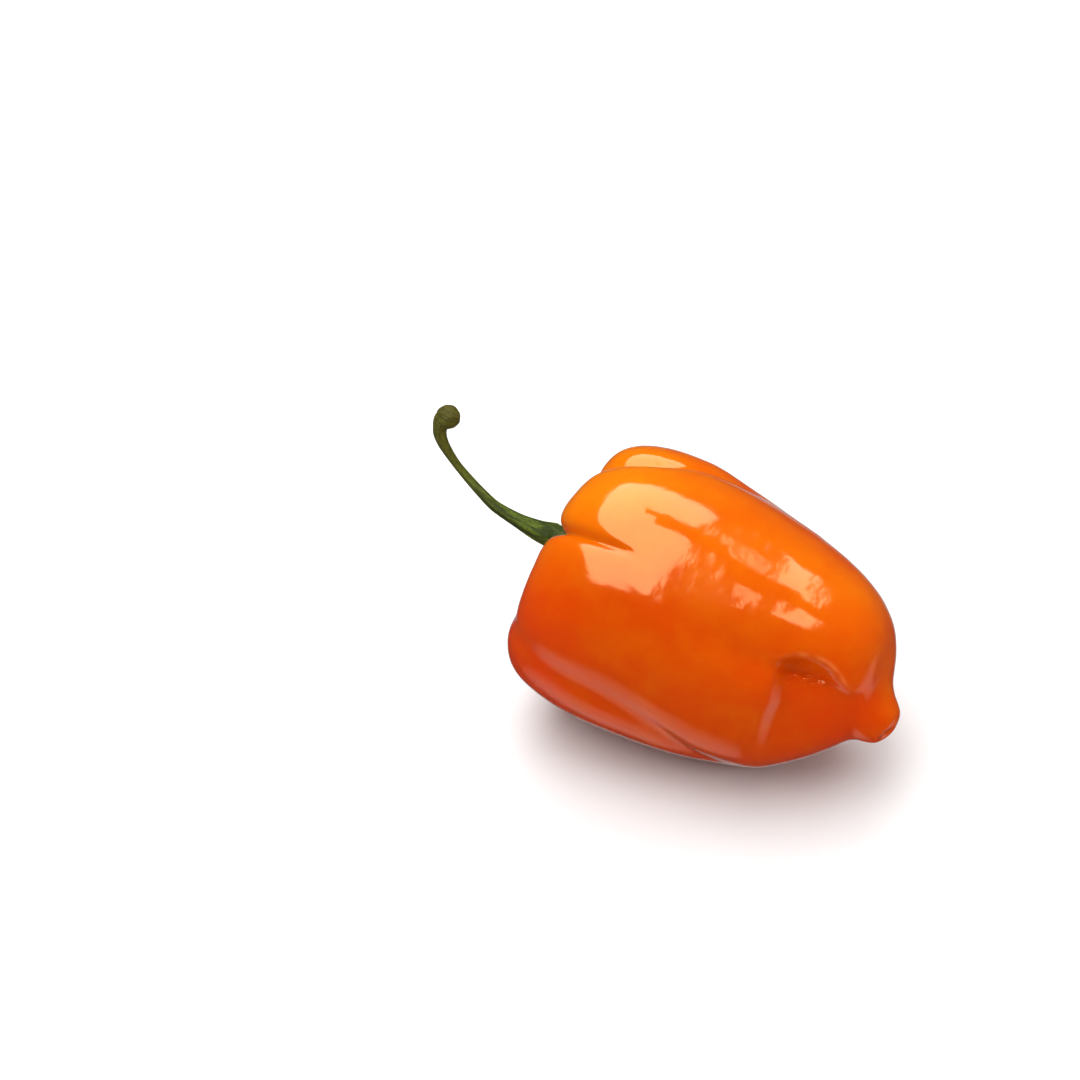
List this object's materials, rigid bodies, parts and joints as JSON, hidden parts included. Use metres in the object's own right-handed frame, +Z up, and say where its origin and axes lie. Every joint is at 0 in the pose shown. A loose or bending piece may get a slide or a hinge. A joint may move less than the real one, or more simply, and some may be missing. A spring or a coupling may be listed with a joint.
{
  "type": "habanero chilli pepper",
  "caption": "Ripe orange habanero chilli lying on its side: a lobed, lantern-shaped fruit with a hollow at its blossom end, and a curved green stem with its calyx.",
  "frame": {"origin": "centre of the small flat spot that the fruit rests on", "axes": "+X from the stem towards the blossom tip along the table, +Z up, -Y the side the picture shows"},
  "size_m": [0.076, 0.0401, 0.0412],
  "materials": {
    "skin": "waxy gloss",
    "stem": "satin, finely ridged"
  },
  "bodies": {
    "root": {"fruit": "skin", "stem_with_calyx": "stem"}
  },
  "joints": []
}
